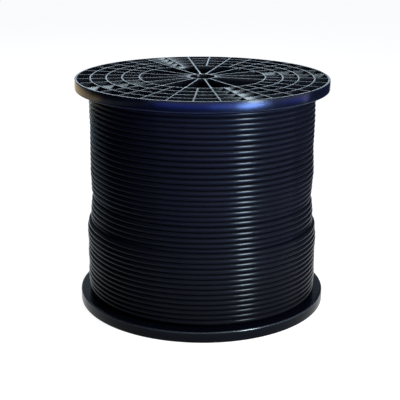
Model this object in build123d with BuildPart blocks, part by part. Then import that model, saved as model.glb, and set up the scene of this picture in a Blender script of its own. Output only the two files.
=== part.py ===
from build123d import *
import os
from math import cos, radians, sin

# Whole reel, in millimetres. It stands on its end, with the origin at the middle of its foot.
reel_height = 300.0
flange_radius = 165.0
flange_depth = 14.0

# Flange moulding
web_thickness = 2.5
rim_wall = 3.0
rim_edge = 1.2
ring_wall = 2.2
ring_count = 3
ring_pitch = 20.3
rib_wall = 2.2
spoke_count = 16
barrel_ring_radius = 82.9
barrel_seat = 8.0
hub_bore_radius = 16.0
hub_wall = 2.6
window_direction = -37.44

# Barrel tube, which slips over the seat rings
seat_clearance = 0.2
barrel_wall = 2.4

# Wound cable
cable_diameter = 6.8
layer_nesting = 0.7
winding_clearance = 0.2
least_freeboard = 11.0
last_layer_turns = 14

# Worked out from the sizes above. Each layer's turns sink into the valleys of the layer below,
# and as many layers are wound as leave the least freeboard of flange above them.
traverse = reel_height - 2 * flange_depth
barrel_inner_radius = barrel_ring_radius + seat_clearance
barrel_outer_radius = barrel_inner_radius + barrel_wall
winding_bore_radius = barrel_outer_radius + winding_clearance
first_layer_radius = winding_bore_radius + cable_diameter
layer_pitch = cable_diameter - layer_nesting
layers_above_first = int((flange_radius - least_freeboard - first_layer_radius) / layer_pitch)
last_layer_radius = first_layer_radius + layers_above_first * layer_pitch
full_layers_radius = last_layer_radius - layer_pitch
last_layer_top = flange_depth + last_layer_turns * cable_diameter
winding_top = flange_depth + traverse


def ring(outer_radius, wall):
    """Draws a round wall, given its outside radius, in the sketch that is open."""
    Circle(outer_radius)
    Circle(outer_radius - wall, mode=Mode.SUBTRACT)


def radial_wall(inner_radius, outer_radius, wall):
    """Draws a straight wall out from one radius to another, along the direction that is open."""
    with Locations(((inner_radius + outer_radius) / 2, 0)):
        Rectangle(outer_radius - inner_radius, wall)


# One flange moulding, with its open face down on the plane and its cable side up. Walls that run
# into each other meet at their middle lines.
rim_middle = flange_radius - rim_wall / 2
barrel_ring_middle = barrel_ring_radius - ring_wall / 2
hub_radius = hub_bore_radius + hub_wall
hub_middle = hub_radius - hub_wall / 2

with BuildPart() as flange:
    # Rim, with the edge that the cable passes over broken
    with BuildSketch(Plane.XY):
        ring(flange_radius, rim_wall)
    extrude(amount=flange_depth)
    outer_edges = flange.edges().filter_by(GeomType.CIRCLE).group_by(SortBy.RADIUS)[-1]
    chamfer(outer_edges.sort_by(Axis.Z)[-1], rim_edge)

    # Flat web behind the winding. It stops at the barrel, which stays open at both ends.
    with BuildSketch(Plane.XY.offset(flange_depth - web_thickness)):
        ring(rim_middle, rim_middle - barrel_ring_middle)
    extrude(amount=web_thickness)

    # Lattice of rings and ribs, flush with the rim
    with BuildSketch(Plane.XY):
        for number in range(1, ring_count + 1):
            ring(flange_radius - number * ring_pitch + ring_wall / 2, ring_wall)
        with PolarLocations(0, 2 * spoke_count):
            radial_wall(barrel_ring_middle, rim_middle, rib_wall)
    extrude(amount=flange_depth)

    # Seat ring for the barrel, and the hub on its spokes. They reach past the web into the
    # barrel. The first spoke is left out, which makes one window twice as wide as the others.
    spoke_step = 360 / spoke_count
    with BuildSketch(Plane.XY):
        ring(barrel_ring_radius, ring_wall)
        ring(hub_radius, hub_wall)
        with PolarLocations(0, spoke_count - 1, start_angle=spoke_step, angular_range=360 - spoke_step):
            radial_wall(hub_middle, barrel_ring_middle, rib_wall)
    extrude(amount=flange_depth + barrel_seat)

# Both flanges are this moulding. The upper one is turned over, and their wide windows line up.
window_x = (cos(radians(window_direction)), sin(radians(window_direction)), 0)
foot_plane = Plane(origin=(0, 0, 0), x_dir=window_x, z_dir=(0, 0, 1))
head_plane = Plane(origin=(0, 0, reel_height), x_dir=window_x, z_dir=(0, 0, -1))
bottom_flange = flange.part.moved(foot_plane.location)
bottom_flange.label = "bottom_flange"
top_flange = flange.part.moved(head_plane.location)
top_flange.label = "top_flange"

# Tube between the two webs
with BuildPart() as barrel:
    with BuildSketch(Plane.XY.offset(flange_depth)):
        ring(barrel_outer_radius, barrel_wall)
    extrude(amount=traverse)
barrel.part.label = "barrel"

# The winding is turned in one piece: full layers from web to web, and the last layer over the
# lowest turns only. Its shoulder slopes as the back of its last turn does.
with BuildPart() as cable:
    with BuildSketch(Plane.XZ):
        with BuildLine():
            Polyline(
                (winding_bore_radius, flange_depth),
                (last_layer_radius, flange_depth),
                (last_layer_radius, last_layer_top - cable_diameter / 2),
                (full_layers_radius, last_layer_top),
                (full_layers_radius, winding_top),
                (winding_bore_radius, winding_top),
                close=True,
            )
        make_face()
    revolve(axis=Axis.Z)
cable.part.label = "cable"

os.makedirs("parts", exist_ok=True)
export_step(bottom_flange, "parts/bottom_flange.step")
export_step(top_flange, "parts/top_flange.step")
export_step(barrel.part, "parts/barrel.step")
export_step(cable.part, "parts/cable.step")
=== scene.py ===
import bpy
import numpy as np
from mathutils import Euler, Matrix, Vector


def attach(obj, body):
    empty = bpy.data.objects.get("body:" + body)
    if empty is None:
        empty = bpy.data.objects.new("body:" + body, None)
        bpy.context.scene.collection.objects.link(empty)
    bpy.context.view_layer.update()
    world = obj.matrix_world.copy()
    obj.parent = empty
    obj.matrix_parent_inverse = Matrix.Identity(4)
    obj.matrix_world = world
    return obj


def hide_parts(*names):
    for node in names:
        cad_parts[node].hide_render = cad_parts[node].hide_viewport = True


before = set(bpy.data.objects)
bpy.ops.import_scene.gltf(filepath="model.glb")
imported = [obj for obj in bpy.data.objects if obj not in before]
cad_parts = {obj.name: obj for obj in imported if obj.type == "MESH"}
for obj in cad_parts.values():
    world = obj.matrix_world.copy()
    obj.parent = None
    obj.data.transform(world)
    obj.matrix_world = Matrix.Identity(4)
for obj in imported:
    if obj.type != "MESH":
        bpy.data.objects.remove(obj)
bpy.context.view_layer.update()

# Camera.
# It looks slightly down on the upright reel from in front, through a long lens, so that the
# lattice of the top flange shows as a flat oval.
look_down = 17.41
look_left = 0.118
camera_roll = 0.22
camera = bpy.data.objects.new("camera", bpy.data.cameras.new("camera"))
bpy.context.scene.collection.objects.link(camera)
camera.data.lens = 86.45
camera.data.sensor_width = 36.0
camera.data.sensor_fit = "HORIZONTAL"
camera.data.clip_end = 100.0
camera.location = (0.0, -1.2354, 0.5194)
aim = Euler((np.radians(90 - look_down), 0.0, np.radians(look_left)), "XYZ").to_matrix()
roll = Euler((0.0, 0.0, np.radians(camera_roll)), "XYZ").to_matrix()
camera.rotation_euler = (aim @ roll).to_euler()
bpy.context.scene.camera = camera


# Flange mouldings.
# Each end of the reel is one black injection-moulded disc: an outer rim and three inner rings,
# crossed by thirty-two ribs that stand on a thin web, round a seat ring that plugs the barrel.
# Fifteen spokes carry the hub, and a sixteenth is left out to make one wide window.
def skin(points, closed_path):
    """Joins grids of points into closed skins, and returns their corners and faces.

    points is paths by stations by section points by 3. A quad joins each two neighbours along a
    path and round its section. A closed path's last station meets its first, and an open path
    has one flat face at each end. Faces are turned to point outwards, which they do where the
    sum of corner . (next corner x opposite corner) over the triangles, six times the volume
    they enclose, is positive.
    """
    paths, stations, around, _ = points.shape
    here = np.arange(paths * stations * around).reshape(paths, stations, around)
    ahead = np.roll(here, -1, axis=1)
    quads = np.stack([here, np.roll(here, -1, axis=2), np.roll(ahead, -1, axis=2), ahead], -1)
    if not closed_path:
        quads = quads[:, :-1]
    quads = quads.reshape(-1, 4)
    caps = [] if closed_path else [here[:, 0, ::-1], here[:, -1]]
    corners = points.reshape(-1, 3)
    a, b, c, d = (corners[quads[:, k]] - corners.mean(0) for k in range(4))
    volume = np.einsum("ij,ij->", a, np.cross(b, c)) + np.einsum("ij,ij->", a, np.cross(c, d))
    faces = [quads, *caps]
    if volume < 0:
        faces = [face[:, ::-1] for face in faces]
    return corners, faces


def piece(name, skins, material):
    """One mesh object from skins whose points are in millimetres. It is shaded smooth, except at
    edges that turn by more than the crisp angle."""
    crisp_angle = np.radians(50)
    corners = np.concatenate([part[0] for part in skins]) / 1000
    starts = np.cumsum([0] + [len(part[0]) for part in skins[:-1]])
    placed = [group + start for part, start in zip(skins, starts) for group in part[1]]
    faces = [face for group in placed for face in group.tolist()]
    mesh = bpy.data.meshes.new(name)
    mesh.from_pydata(corners, [], faces)
    mesh.polygons.foreach_set("use_smooth", np.ones(len(mesh.polygons), bool))
    mesh.set_sharp_from_angle(angle=crisp_angle)
    mesh.materials.append(material)
    made = bpy.data.objects.new(name, mesh)
    bpy.context.scene.collection.objects.link(made)
    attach(made, "root")
    return made


def point_values(made, name, values):
    """Keeps one number for each corner of a piece, for its material to read."""
    layer = made.data.attributes.new(name, "FLOAT", "POINT")
    layer.data.foreach_set("value", np.asarray(values, np.float32))


# Sizes are in millimetres. A depth is measured from the moulding's open face.
reel_height = 300.0
flange_depth = 14.0
web_face = 11.5
seat_depth = 22.0
seat_inside = 80.7
seat_outside = 82.8
rim_inside = 162.0
rim_outside = 164.95
ring_middles = (104.1, 124.4, 144.7)

# Across a rib or ring, from its middle: offset and depth. The top is rounded, the sides lean out
# by the draft, and a fillet runs into the web.
wall_offsets = np.array([0.62, 0.86, 1.0, 1.12, 1.3, 1.75, 2.5])
wall_depths = np.array([0.0, 0.08, 0.36, web_face - 0.9, web_face - 0.25, web_face, web_face])

# The moulding's section, as radius and depth, once round from the foot of the seat ring's bore.
seat_bore = [
    (seat_inside + 0.6, seat_depth), (seat_inside + 0.25, seat_depth - 0.1),
    (seat_inside + 0.05, seat_depth - 0.5), (seat_inside, flange_depth), (seat_inside, 6.0),
    (seat_inside + 0.02, 0.4),
]
seat_top = [
    (seat_inside + 0.16, 0.1), (seat_inside + 0.4, 0.0), (seat_outside - 0.45, 0.0),
    (seat_outside - 0.2, 0.1), (seat_outside - 0.04, 0.4),
]
seat_root = [
    (seat_outside + 0.08, web_face - 0.9), (seat_outside + 0.25, web_face - 0.25),
    (seat_outside + 0.7, web_face), (seat_outside + 1.5, web_face),
]
rings = [
    (middle + side * offset, depth)
    for middle in ring_middles
    for side, order in ((-1, slice(None, None, -1)), (1, slice(None)))
    for offset, depth in zip(wall_offsets[order], wall_depths[order])
]
rim_root = [
    (rim_inside - 1.6, web_face), (rim_inside - 0.7, web_face), (rim_inside - 0.28, web_face - 0.25),
    (rim_inside - 0.12, web_face - 0.9),
]
rim_top = [
    (rim_inside, 0.4), (rim_inside + 0.16, 0.1), (rim_inside + 0.4, 0.0), (rim_outside - 0.65, 0.0),
    (rim_outside - 0.3, 0.1), (rim_outside - 0.07, 0.4),
]
rim_wall = [
    (rim_outside, 1.0), (rim_outside, 6.0), (rim_outside - 0.01, flange_depth - 2.1),
    (rim_outside - 0.15, flange_depth - 1.45), (rim_outside - 0.4, flange_depth - 0.87),
    (rim_outside - 0.87, flange_depth - 0.4), (rim_outside - 1.45, flange_depth - 0.12),
]
web_back = [(radius, flange_depth) for radius in (rim_outside - 2.1, 161.5, 150.0, 120.0, 86.0)]
seat_plug = [
    (seat_outside + 0.6, flange_depth), (seat_outside + 0.18, flange_depth + 0.15),
    (seat_outside + 0.06, flange_depth + 0.6), (seat_outside + 0.02, seat_depth - 0.6),
    (seat_outside - 0.2, seat_depth - 0.15), (seat_outside - 0.5, seat_depth),
]
inner_rows = seat_bore + seat_top + seat_root + rings + rim_root
section = np.array(inner_rows + rim_top + rim_wall + web_back + seat_plug)
row_radius, row_depth = section.T

# Ribs rise from the flat top of the seat ring to that of the rim, and each flat starts two rows
# into its own list.
ribbed = slice(len(seat_bore) + 2, len(inner_rows) + 2)

# Columns: across each rib at fixed offsets, so that it keeps its width, and four more between
# that rib and the next at even shares of the angle left.
rib_count = 32
rib_step = 2 * np.pi / rib_count
shares = np.array([0.2, 0.4, 0.6, 0.8])
offsets = np.concatenate([-wall_offsets[::-1], wall_offsets])
rib_depths = np.concatenate([wall_depths[::-1], wall_depths, np.full(len(shares), web_face)])
across = np.arcsin(offsets[None, :] / row_radius[:, None])
reach = across[:, -1:]
between = reach + (rib_step - 2 * reach) * shares
one_rib = np.concatenate([across, between], axis=1)
rib_turns = rib_step * np.arange(rib_count)
lattice_angle = (one_rib[:, None, :] + rib_turns[None, :, None]).reshape(len(section), -1)
lattice_radius = np.repeat(row_radius[:, None], lattice_angle.shape[1], axis=1)
lattice_depth = np.repeat(row_depth[:, None], lattice_angle.shape[1], axis=1)
lattice_depth[ribbed] = np.minimum(lattice_depth[ribbed], np.tile(rib_depths, rib_count)[None, :])


def flat_bar(half_widths, top, end, corner=0.32):
    """Sections of a straight bar as offset and depth: a rectangle from the top to the end, with
    quarter-round corners (corner cos turn, corner sin turn), set across to each half width."""
    turn = np.linspace(0, np.pi / 2, 4) + np.array([-1, 0, 1, 2])[:, None] * np.pi / 2
    side = np.array([1, 1, -1, -1])[:, None]
    centre = np.array([top + corner, end - corner, end - corner, top + corner])[:, None]
    rounding = corner * np.cos(turn).ravel()
    offset = np.repeat(side, 4, axis=1).ravel() * (half_widths[:, None] - corner) + rounding
    depth = np.repeat((centre + corner * np.sin(turn)).reshape(1, -1), len(half_widths), axis=0)
    return offset, depth


# Spokes run from the hub to the seat ring. Each is wider where it joins them, in a curve that
# fades with distance, and its two ends are sunk in their walls.
spoke_count = 15
spoke_spacing = np.radians(22.5)
hub_outside = 18.6
spoke_stations = np.array([
    17.2, 18.2, 18.8, 19.5, 20.5, 22.0, 24.0, 27.0, 31.0, 38.0,
    50.0, 64.0, 73.0, 76.5, 78.6, 79.8, 80.5, 81.0, 81.8,
])
hub_flare = 1.3 * np.exp(-(spoke_stations - hub_outside) / 3.6)
seat_flare = 1.4 * np.exp((spoke_stations - seat_inside) / 1.3)
spoke_half = 1.0
spoke_half_at_most = 2.6
half_widths = np.minimum(spoke_half + hub_flare + seat_flare, spoke_half_at_most)
bar_offset, bar_depth = flat_bar(half_widths, 0.03, seat_depth - 0.1)
bar_depth[[0, -1]] = np.clip(bar_depth[[0, -1]], 0.3, seat_depth - 0.4)
along = np.repeat(spoke_stations[:, None], bar_offset.shape[1], axis=1)
spoke_angle = spoke_spacing * np.arange(1, spoke_count + 1)[:, None, None]
spoke_radius = np.repeat(np.hypot(along, bar_offset)[None], spoke_count, axis=0)
spoke_turn = spoke_angle + np.arctan2(bar_offset, along)[None]
spoke_depth = np.repeat(bar_depth[None], spoke_count, axis=0)

# The hub is a plain ring with rounded lips, turned about the axis.
hub_bore = 16.0
hub_section = np.array([
    (hub_bore, seat_depth - 0.6), (hub_bore, 12.0), (hub_bore, 0.7), (hub_bore + 0.12, 0.28),
    (hub_bore + 0.4, 0.04), (hub_bore + 0.8, 0.0), (hub_outside - 0.7, 0.0), (hub_outside - 0.35, 0.04),
    (hub_outside - 0.1, 0.28), (hub_outside, 0.7), (hub_outside, 12.0), (hub_outside, seat_depth - 0.6),
    (hub_outside - 0.15, seat_depth - 0.15), (hub_outside - 0.5, seat_depth), (hub_bore + 0.5, seat_depth),
    (hub_bore + 0.15, seat_depth - 0.15),
])
hub_turn = np.linspace(0, 2 * np.pi, 96, endpoint=False)
hub_angle = np.repeat(hub_turn[None, :, None], len(hub_section), axis=2)
hub_radius = np.broadcast_to(hub_section[None, None, :, 0], hub_angle.shape)
hub_depth = np.broadcast_to(hub_section[None, None, :, 1], hub_angle.shape)

window_direction = np.radians(-37.44)


def on_reel(radius, angle, depth, top):
    """A point of a flange at its place on the reel, (radius cos turn, radius sin turn, height).
    The lower flange stands on its open face, and the upper one is turned over, so its angles
    run the other way from the wide window."""
    if top:
        turn, height = window_direction - angle, reel_height - depth
    else:
        turn, height = window_direction + angle, depth
    height = np.broadcast_to(height, radius.shape)
    return np.stack([radius * np.cos(turn), radius * np.sin(turn), height], -1)


# Reel plastic: black polypropylene with a cool, soft sheen, a fine spark-eroded grain and slow
# waves from the mould. Handling has rubbed the proud edges paler, and that paler colour is also
# a painted highlight along them. Handling has scuffed the gloss and polished the lower flange's
# shoulder, and dust dulls the reel towards the floor. The same paler colour over the whole barrel is painted
# light.
def connect(tree, made, sockets):
    """Sets each named or numbered socket to a number or a colour, or links an output to it."""
    for label, value in sockets.items():
        if isinstance(value, bpy.types.NodeSocket):
            tree.links.new(value, made.inputs[label])
        else:
            made.inputs[label].default_value = value


def node(tree, kind, sockets=None, **settings):
    """A new node with its settings and its sockets."""
    made = tree.nodes.new(kind)
    for name, value in settings.items():
        setattr(made, name, value)
    connect(tree, made, sockets or {})
    return made


def maths(tree, operation, *values, clamp=False):
    """The output of a Math node on numbers or on other nodes' outputs."""
    made = node(tree, "ShaderNodeMath", dict(enumerate(values)), operation=operation, use_clamp=clamp)
    return made.outputs[0]


def new_material(name):
    """A material, its node tree and its Principled shader."""
    made = bpy.data.materials.new(name)
    made.use_nodes = True
    return made, made.node_tree, made.node_tree.nodes["Principled BSDF"]


# Scuffs: fine streaks where two stretched noises rise together, gathered in patches.
scuffs = bpy.data.node_groups.new("handling_scuffs", "ShaderNodeTree")
scuffs.interface.new_socket("Vector", in_out="INPUT", socket_type="NodeSocketVector")
scuffs.interface.new_socket("Scale", in_out="INPUT", socket_type="NodeSocketFloat")
scuffs.interface.new_socket("Mask", in_out="OUTPUT", socket_type="NodeSocketFloat")
source = scuffs.nodes.new("NodeGroupInput").outputs
patches = node(scuffs, "ShaderNodeTexNoise", {"Vector": source["Vector"], "Scale": 9.0, "Detail": 3.0})
streaks = node(scuffs, "ShaderNodeTexNoise", {
    "Vector": source["Vector"], "Scale": source["Scale"], "Detail": 6.0, "Roughness": 0.7, "Distortion": 1.6,
})
gathered = maths(scuffs, "MULTIPLY", patches.outputs["Fac"], streaks.outputs["Fac"])
shown = maths(scuffs, "SUBTRACT", gathered, 0.35)
node(scuffs, "NodeGroupOutput", {"Mask": maths(scuffs, "MULTIPLY", shown, 6.0, clamp=True)})

plastic, tree, shader = new_material("reel_plastic")
place = node(tree, "ShaderNodeTexCoord").outputs["Object"]
marks = node(tree, "ShaderNodeGroup", {"Vector": place, "Scale": 90.0}, node_tree=scuffs)
proud = node(tree, "ShaderNodeAttribute", attribute_name="pale_wear_and_light").outputs["Fac"]
nicks = node(tree, "ShaderNodeTexNoise", {
    "Vector": place, "Scale": 220.0, "Detail": 4.0, "Roughness": 0.65,
})
# Paler colour on the proud edges: partly rubbed wear, partly a painted highlight along the edges; on the
# barrel, painted light.
rubbed_and_lit = maths(tree, "MULTIPLY", proud, maths(tree, "MULTIPLY", nicks.outputs["Fac"], 1.3), clamp=True)
tone = node(tree, "ShaderNodeMix", {
    "Factor": rubbed_and_lit, "A": (0.002, 0.0024, 0.0056, 1.0), "B": (0.035, 0.042, 0.058, 1.0),
}, data_type="RGBA")
flow = node(tree, "ShaderNodeTexNoise", {"Vector": place, "Scale": 14.0, "Detail": 3.0})
gloss = maths(tree, "MULTIPLY_ADD", flow.outputs["Fac"], 0.08, 0.17)
grain = node(tree, "ShaderNodeTexNoise", {"Vector": place, "Scale": 1500.0, "Detail": 2.0})
waves = node(tree, "ShaderNodeTexNoise", {"Vector": place, "Scale": 18.0, "Detail": 1.0})
wave_bump = node(tree, "ShaderNodeBump", {
    "Strength": 0.35, "Distance": 0.0001, "Height": waves.outputs["Fac"],
})
grain_bump = node(tree, "ShaderNodeBump", {
    "Strength": 0.08, "Distance": 0.00005, "Height": grain.outputs["Fac"],
    "Normal": wave_bump.outputs["Normal"],
})
height = node(tree, "ShaderNodeSeparateXYZ", {"Vector": place}).outputs["Z"]
dust = node(tree, "ShaderNodeMapRange", {
    "Value": height, "From Min": 0.02, "From Max": 0.2, "To Min": 0.07, "To Max": 0.3,
})
polish = node(tree, "ShaderNodeAttribute", attribute_name="edge_gloss").outputs["Fac"]
connect(tree, shader, {
    "Base Color": tone.outputs["Result"],
    "Roughness": maths(tree, "MULTIPLY_ADD", marks.outputs["Mask"], 0.14, gloss),
    "Normal": grain_bump.outputs["Normal"],
    "IOR": 1.5,
    "Specular IOR Level": maths(tree, "MULTIPLY_ADD", polish, 0.9, dust.outputs["Result"]),
    "Specular Tint": (0.8, 0.9, 1.0, 1.0),
})

# The shoulder is the rounded edge between the rim's wall and the back of the web. Use has
# polished the lower one, and the upper one is duller than the rest.
for node_name, is_top, shoulder_gloss in (("bottom_flange", False, 1.0), ("top_flange", True, -0.3)):
    lattice = on_reel(lattice_radius, lattice_angle, lattice_depth, is_top)
    spokes = on_reel(spoke_radius, spoke_turn, spoke_depth, is_top)
    hub = on_reel(hub_radius, hub_angle, hub_depth, is_top)
    skins = [skin(lattice[None], True), skin(spokes, False), skin(hub, True)]
    moulding = piece(node_name + "_moulding", skins, plastic)
    depths = np.concatenate([lattice_depth.ravel(), spoke_depth.ravel(), hub_depth.ravel()])
    radii = np.concatenate([lattice_radius.ravel(), spoke_radius.ravel(), hub_radius.ravel()])
    # The tops of the open face and the outer shoulder get the paler colour: rubbed wear and a painted
    # highlight.
    open_edge = 0.8 * np.exp(-depths / 0.25)
    inwards = rim_outside - radii
    from_back = flange_depth - depths
    worn_and_lit = np.exp(-((inwards - 0.35) ** 2 + (from_back - 0.8) ** 2) / 0.6)
    shoulder = np.exp(-(((inwards - 0.55) / 1.1) ** 2 + (from_back - 0.7) ** 2) ** 2)
    point_values(moulding, "pale_wear_and_light", open_edge + worn_and_lit)
    point_values(moulding, "edge_gloss", shoulder_gloss * shoulder)
    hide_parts(node_name)


# Barrel.
# A plain extruded tube of the same plastic that slips over the seat rings and keeps the
# flanges apart. Its bore is what shows through the windows, and is painted a little paler all
# over, as painted light on it.
def turned(outline, steps, start=0.0):
    """An outline of radius and height, turned once about the reel's axis from the start angle:
    (radius cos angle, radius sin angle, height)."""
    angle = start + np.linspace(0, 2 * np.pi, steps, endpoint=False)[:, None]
    radius, height = outline.T
    return np.stack(np.broadcast_arrays(radius * np.cos(angle), radius * np.sin(angle), height), -1)


barrel_inside = 83.1
barrel_outside = 85.5
barrel_low = flange_depth
barrel_high = reel_height - flange_depth
barrel_section = np.array([
    (barrel_inside, barrel_low + 0.3), (barrel_inside, 80.0), (barrel_inside, 150.0),
    (barrel_inside, 220.0), (barrel_inside, barrel_high - 0.3), (barrel_inside + 0.2, barrel_high),
    (barrel_outside - 0.2, barrel_high), (barrel_outside, barrel_high - 0.3), (barrel_outside, 220.0),
    (barrel_outside, 80.0), (barrel_outside, barrel_low + 0.3), (barrel_outside - 0.2, barrel_low),
    (barrel_inside + 0.2, barrel_low),
])
barrel = piece("barrel_tube", [skin(turned(barrel_section, 256)[None], True)], plastic)
# The paler colour over the whole bore is painted light, not wear.
point_values(barrel, "pale_wear_and_light", np.full(len(barrel.data.vertices), 0.6))
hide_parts("barrel")

# Wound cable.
# Round black cable laid turn against turn from flange to flange. One more layer covers the
# lowest turns, follows their lay round the front, and crosses them at the back.
cable_radius = 3.37
full_pitch = 6.72
last_pitch = 6.64
steps_per_turn = 104
round_section = np.linspace(0, 2 * np.pi, 14, endpoint=False)
lowest_turn = flange_depth + cable_radius + 0.03
highest_turn = reel_height - flange_depth - cable_radius - 0.03


def wander(turns, waves_per_turn, size, seed):
    """A sum of eight slow sine waves along the cable, each with a whole or no number of waves
    round the reel, so that neighbouring turns move almost together. Size is its spread, and
    slower waves get more of it."""
    draw = np.random.default_rng(seed)
    rate = draw.uniform(*waves_per_turn, 8)
    lobes = draw.integers(-2, 3, 8)
    start = draw.uniform(0, 2 * np.pi, 8)
    share = (1 / rate) / np.sqrt(np.sum(0.5 / rate ** 2))
    return size * np.sin(2 * np.pi * (rate + lobes) * turns[:, None] + start) @ share


def swell(height, middle, reach):
    """A bell curve up the reel: e to the power of minus ((height - middle) / reach) squared."""
    return np.exp(-((height - middle) / reach) ** 2)


def laid_cable(turns, start_angle, radius, height):
    """A round cable along a winding: centre (radius, angle, height) with angle one full circle
    a turn, and its section square to the path, cos(a) outwards and sin(a) along the axis. It
    returns the skin's points and the length of each step along the path."""
    angle = start_angle + 2 * np.pi * turns
    outward = np.stack([np.sin(angle), -np.cos(angle), np.zeros_like(angle)], -1)
    onward = np.stack([np.cos(angle), np.sin(angle), np.zeros_like(angle)], -1)
    rise = np.gradient(height, angle) / radius
    upward = (np.array([0.0, 0.0, 1.0]) - rise[:, None] * onward) / np.hypot(1, rise)[:, None]
    centre = radius[:, None] * outward
    centre[:, 2] = height
    a = round_section[None, :, None]
    ring = centre[:, None] + cable_radius * (np.cos(a) * outward[:, None] + np.sin(a) * upward[:, None])
    return ring, np.hypot(radius, rise * radius) * 2 * np.pi * np.gradient(turns)


# Full layer: forty turns, from the top flange down to the lower one, dropping to the right as
# seen from in front. Slack in the lay has let the turns spread in two places, and leaves some a
# little proud and some a little sunk.
full_turn_count = 40
full_start = 283.6
full_layer_radius = 144.0
full_turns = np.linspace(0, full_turn_count, full_turn_count * steps_per_turn + 1)
full_height = full_start - full_pitch * full_turns + wander(full_turns, (0.05, 0.4), 0.12, 11)
full_height += 1.6 * swell(full_height, 255, 20) + 0.6 * swell(full_height, 224, 12)
full_height -= 1.1 * swell(full_height, 184, 22)
full_height = np.clip(full_height, lowest_turn, highest_turn)
bulges = 1.1 * swell(full_height, 121, 11) - 1.5 * swell(full_height, 146.5, 4)
full_radius = full_layer_radius + bulges + 0.5 * swell(full_height, 177, 8)
full_radius += wander(full_turns, (0.05, 0.3), 0.22, 12)
full_ring, full_step = laid_cable(full_turns, np.pi, full_radius, full_height)

# Last layer: fourteen turns, from the lower flange up. Each lies in the valley of the full
# layer for most of the way round, then climbs two pitches behind the reel, on the right. The
# last turn sinks in a little, and its end tucks under at the back.
last_turn_count = 13.95
last_start = 24.0
last_layer_radius = 150.1
climb_start = 0.79
climb_share = 0.2
last_turns = np.linspace(0.0, last_turn_count, int(last_turn_count * steps_per_turn) + 1)
climbing = np.clip((np.mod(last_turns, 1) - climb_start) / climb_share, 0, 1)
climb = np.floor(last_turns) + climbing * climbing * (3 - 2 * climbing)
last_height = last_start - full_pitch * last_turns + (full_pitch + last_pitch) * climb
last_height += wander(last_turns, (0.05, 0.4), 0.1, 13) + 0.5 * swell(last_height, 92, 14)
last_height = np.maximum(last_height, lowest_turn)
tuck = np.clip((last_turns - 13.83) / 0.12, 0, 1)
sinking = np.clip((last_turns - 12.3) / 0.8, 0, 1)
last_radius = last_layer_radius + 0.7 * np.sin(np.pi * climbing) - 7.5 * tuck ** 2 - 1.0 * sinking
last_radius += wander(last_turns, (0.05, 0.3), 0.2, 14)
last_ring, last_step = laid_cable(last_turns, np.pi, last_radius, last_height)

# The layer beneath, seen only where two turns part, is a turned body with forty round ridges. Its
# radius is that of its valleys plus the ridge x the root of |sin| of the height.
under_low = flange_depth + 0.02
under_high = reel_height - flange_depth - 0.02
under_bore = 85.9
under_valleys = 136.4
under_ridge = 3.3
under_pitch = 6.8
under_height = np.linspace(under_low, under_high, 165)
ridges = np.abs(np.sin(np.pi * (under_height - flange_depth) / under_pitch)) ** 0.5
under_radius = under_valleys + under_ridge * ridges
under_section = np.concatenate([np.stack([under_radius, under_height], -1), [
    (90.0, under_high), (under_bore, under_high - 0.08), (under_bore, under_low + 0.08), (90.0, under_low),
]])
under = turned(under_section, 96, start=-np.pi / 2)

# Cable jacket: extruded black PVC with faint lines from the die and a slightly uneven gloss. The
# guide that laid it has polished its outer, upper side, so that it mirrors the lamps, while the
# flanks keep a dull bloom. Dust dulls the lowest turns.
jacket, tree, shader = new_material("cable_jacket")
along_cable = node(tree, "ShaderNodeUVMap", uv_map="along_cable").outputs["UV"]
stretched = node(tree, "ShaderNodeMapping", {"Vector": along_cable, "Scale": (0.05, 1.0, 1.0)})
die_lines = node(tree, "ShaderNodeTexNoise", {
    "Vector": stretched.outputs["Vector"], "Scale": 900.0, "Detail": 3.0,
})
lines_bump = node(tree, "ShaderNodeBump", {
    "Strength": 0.25, "Distance": 0.00003, "Height": die_lines.outputs["Fac"],
})
marks = node(tree, "ShaderNodeGroup", {"Vector": along_cable, "Scale": 260.0}, node_tree=scuffs)
tone = node(tree, "ShaderNodeMix", {
    "Factor": marks.outputs["Mask"], "A": (0.0052, 0.0054, 0.0084, 1.0), "B": (0.011, 0.012, 0.018, 1.0),
}, data_type="RGBA")
mottle = node(tree, "ShaderNodeTexNoise", {"Vector": along_cable, "Scale": 45.0, "Detail": 4.0})
gloss = maths(tree, "MULTIPLY_ADD", mottle.outputs["Fac"], 0.06, 0.12)
scuffed_gloss = maths(tree, "MULTIPLY_ADD", marks.outputs["Mask"], 0.12, gloss)
polish = node(tree, "ShaderNodeAttribute", attribute_name="polished_side").outputs["Fac"]
bloom = maths(tree, "SUBTRACT", 1.0, polish)
place = node(tree, "ShaderNodeTexCoord").outputs["Object"]
height = node(tree, "ShaderNodeSeparateXYZ", {"Vector": place}).outputs["Z"]
dust = node(tree, "ShaderNodeMapRange", {
    "Value": height, "From Min": 0.015, "From Max": 0.075, "To Min": 0.11, "To Max": 0.25,
})
shine = maths(tree, "MULTIPLY_ADD", polish, 0.88, 0.12)
connect(tree, shader, {
    "Base Color": tone.outputs["Result"],
    "Roughness": maths(tree, "MULTIPLY_ADD", bloom, 0.25, scuffed_gloss),
    "Normal": lines_bump.outputs["Normal"],
    "IOR": 1.5,
    "Specular IOR Level": maths(tree, "MULTIPLY", dust.outputs["Result"], shine),
    "Specular Tint": (0.8, 0.93, 1.0, 1.0),
})
winding = piece("wound_cable", [
    skin(full_ring[None], False), skin(last_ring[None], False), skin(under[None], True),
], jacket)


def laid_map(step):
    """Map points of a laid cable, in metres: the sum of the steps so far, and the distance round
    the cable from its outer side, cable radius x angle, the same up both sides."""
    length = np.repeat(np.cumsum(step)[:, None], len(round_section), axis=1)
    around = cable_radius * np.minimum(round_section, 2 * np.pi - round_section)
    return np.stack([length, np.broadcast_to(around, length.shape)], -1).reshape(-1, 2) / 1000


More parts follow.
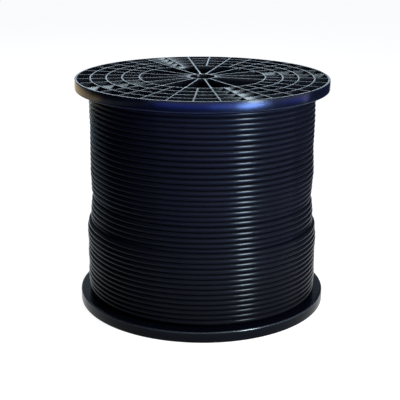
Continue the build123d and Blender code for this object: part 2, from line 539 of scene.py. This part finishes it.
under_girth = 140.0 * np.linspace(0, 2 * np.pi, len(under), endpoint=False)[:, None]
under_map = np.stack(np.broadcast_arrays(under_girth, under_section[:, 1]), -1).reshape(-1, 2) / 1000
map_points = np.concatenate([laid_map(full_step), laid_map(last_step), under_map])
cable_map = winding.data.uv_layers.new(name="along_cable")
corner_points = np.zeros(len(winding.data.loops), np.int32)
winding.data.loops.foreach_get("vertex_index", corner_points)
cable_map.data.foreach_set("uv", map_points[corner_points].astype(np.float32).ravel())

# The polished side, which the layer beneath lacks: e to the power of minus ((angle - 19) / 19) to
# the fourth, where the angle is in degrees up from straight outwards.
polished = np.exp(-((np.degrees(round_section) - 19) / 19) ** 4)
laid_sections = len(full_ring) + len(last_ring)
unpolished = np.zeros(len(under_map))
point_values(winding, "polished_side", np.concatenate([np.tile(polished, laid_sections), unpolished]))
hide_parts("cable")


# Studio.
# A pale floor and, far off, a low backdrop round it. Both are lit by themselves for the camera
# and for shiny surfaces, so that they show white, and keep the reel's shadow.
def stage_mesh(name, corners, faces, material):
    """One stage object from corners in metres."""
    mesh = bpy.data.meshes.new(name)
    mesh.from_pydata(corners, [], faces)
    mesh.materials.append(material)
    made = bpy.data.objects.new(name, mesh)
    bpy.context.scene.collection.objects.link(made)
    return made


paper, tree, shader = new_material("studio_paper")
ray = node(tree, "ShaderNodeLightPath").outputs
seen = maths(tree, "MAXIMUM", ray["Is Camera Ray"], ray["Is Glossy Ray"])
seen = maths(tree, "MAXIMUM", seen, ray["Is Transmission Ray"])
white = node(tree, "ShaderNodeEmission", {
    "Color": (1.0, 1.0, 1.0, 1.0), "Strength": maths(tree, "MULTIPLY", seen, 0.92),
})
connect(tree, shader, {"Base Color": (0.28, 0.28, 0.28, 1.0), "Roughness": 1.0, "Specular IOR Level": 0.0})
both = node(tree, "ShaderNodeAddShader", {0: shader.outputs["BSDF"], 1: white.outputs["Emission"]})
connect(tree, tree.nodes["Material Output"], {"Surface": both.outputs["Shader"]})

floor_reach = 21.0
floor_level = -0.0003
floor_signs = np.array([(-1, -1, 1), (1, -1, 1), (1, 1, 1), (-1, 1, 1)])
floor_corners = floor_signs * np.array([floor_reach, floor_reach, floor_level])
stage_mesh("studio_floor", floor_corners, [(0, 1, 2, 3)], paper)

backdrop_edges = np.array([(20.0, -0.01), (20.0, 2.79)])
backdrop = turned(backdrop_edges, 64)
lower = np.arange(0, 2 * len(backdrop), 2)
upper = lower + 1
backdrop_faces = np.stack([lower, np.roll(lower, -1), np.roll(upper, -1), upper], -1).tolist()
stage_mesh("studio_backdrop", backdrop.reshape(-1, 3), backdrop_faces, paper)

# A faint sky fills the shadows.
world = bpy.data.worlds.new("studio")
world.use_nodes = True
world.node_tree.nodes["Background"].inputs["Color"].default_value = (0.62, 0.8, 1.0, 1.0)
world.node_tree.nodes["Background"].inputs["Strength"].default_value = 0.17
bpy.context.scene.world = world

# Black cards take the place of a dark room, outside the picture. Two stand on edge along the
# reel's sides, and one lies on the floor in front and on the right.
card_black, tree, shader = new_material("card_black")
connect(tree, shader, {"Base Color": (0.0, 0.0, 0.0, 1.0), "Specular IOR Level": 0.0})


def dark_card(name, corners):
    """A black card with the given corners. Only shiny surfaces see it, and it casts no shadow."""
    card = stage_mesh(name, corners, [tuple(range(len(corners)))], card_black)
    card.visible_camera = False
    card.visible_diffuse = False
    card.visible_shadow = False


card_foot = 0.001
card_top = 0.9
for name, (x0, y0), (x1, y1) in (
    ("left_card", (-0.27, -0.35), (-0.68, 1.75)),
    ("right_card", (0.32, -0.05), (0.72, 1.9)),
):
    dark_card(name, [(x0, y0, card_foot), (x1, y1, card_foot), (x1, y1, card_top), (x0, y0, card_top)])
floor_card_outline = [
    (-0.27, -0.32), (0.22, -0.32), (0.33, 0.1), (1.9, 0.1), (1.9, -2.3), (-1.9, -2.3), (-1.9, -0.32),
]
dark_card("floor_card", [(x, y, card_foot) for x, y in floor_card_outline])


def soft_box(name, centre, target, width, height, radiance, colour=(1.0, 1.0, 1.0), beam=180):
    """A rectangular lamp that faces the target. Its power is radiance x area x pi, and its beam
    is so many degrees wide."""
    lamp = bpy.data.lights.new(name, "AREA")
    lamp.shape = "RECTANGLE"
    lamp.size = width
    lamp.size_y = height
    lamp.energy = radiance * width * height * np.pi
    lamp.spread = np.radians(beam)
    lamp.color = colour
    made = bpy.data.objects.new(name, lamp)
    made.location = centre
    made.rotation_euler = (Vector(centre) - Vector(target)).to_track_quat("Z", "Y").to_euler()
    made.visible_camera = False
    bpy.context.scene.collection.objects.link(made)
    return made


def low_panel(name, x, y, width, depth, radiance, colour, height=0.012):
    """A soft box that lies on its back and shines straight up."""
    made = soft_box(name, (x, y, height), (x, y, 1.0), width, depth, radiance, colour)
    made.rotation_euler = (np.pi, 0.0, 0.0)


# Behind and above: the pale tops of the ribs, the light on the back, and the general light.
reel_middle = (0.0, 0.0, 0.15)
soft_box("lamp_behind", (0.0, 2.4, 0.58), (0.0, 0.0, 0.45), 1.4, 0.5, 0.19, (0.62, 0.82, 1.0), beam=60)
soft_box("lamp_back", (-0.5, 1.5, 1.7), reel_middle, 1.1, 0.7, 5.0)
soft_box("lamp_over", (0.9, -0.5, 2.0), reel_middle, 1.2, 1.2, 1.2)

# The key: a tall narrow box in front on the right, for the column of highlights on the turns.
key_turn = np.radians(41)
key_distance = 0.9
key_height = 0.47
key_centre = (key_distance * np.sin(key_turn), -key_distance * np.cos(key_turn), key_height)
soft_box("lamp_key", key_centre, (0.0, 0.0, key_height), 0.18, 0.54, 33.0, (0.9, 1.0, 0.98))

# Low in front: blue and navy panels that show in the upper rim's wall, and hardly in the turns.
low_panel("lamp_patch", 0.98, -1.15, 0.7, 0.55, 78.0, (0.22, 0.38, 1.0))
low_panel("lamp_patch_side", 0.42, -1.5, 0.5, 0.5, 20.0, (0.12, 0.22, 1.0))
low_panel("lamp_navy_front", -0.2, -1.6, 2.0, 0.6, 9.0, (0.06, 0.12, 1.0))
low_panel("lamp_navy_right", 1.5, -0.2, 0.6, 1.0, 3.6, (0.1, 0.13, 1.0))

# Close to the sides: faint edge lights, the pale and gold light on the upper rim's left end, and
# a weak fill from in front.
soft_box("lamp_right", (0.29, 0.06, 0.4), (0.0, 0.0, 0.4), 0.4, 0.7, 0.05, (0.3, 0.5, 1.0))
soft_box("lamp_left", (-0.29, 0.12, 0.15), reel_middle, 0.5, 0.28, 0.22, (0.6, 0.82, 1.0))
low_panel("lamp_rim_left", -0.27, -0.18, 0.12, 0.3, 0.35, (0.85, 0.88, 1.0), height=0.25)
edge_aim = (-0.14, -0.04, 0.37)
soft_box("lamp_left_edge", (-0.355, 0.433, 0.34), edge_aim, 0.06, 0.14, 0.45, (0.8, 0.93, 1.0), beam=50)
low_panel("lamp_gold", -0.29, 0.12, 0.14, 0.4, 0.95, (1.0, 0.68, 0.3), height=0.25)
soft_box("lamp_front", (0.1, -1.5, 1.1), reel_middle, 1.0, 0.6, 0.6)

bpy.context.scene.view_settings.view_transform = "Standard"
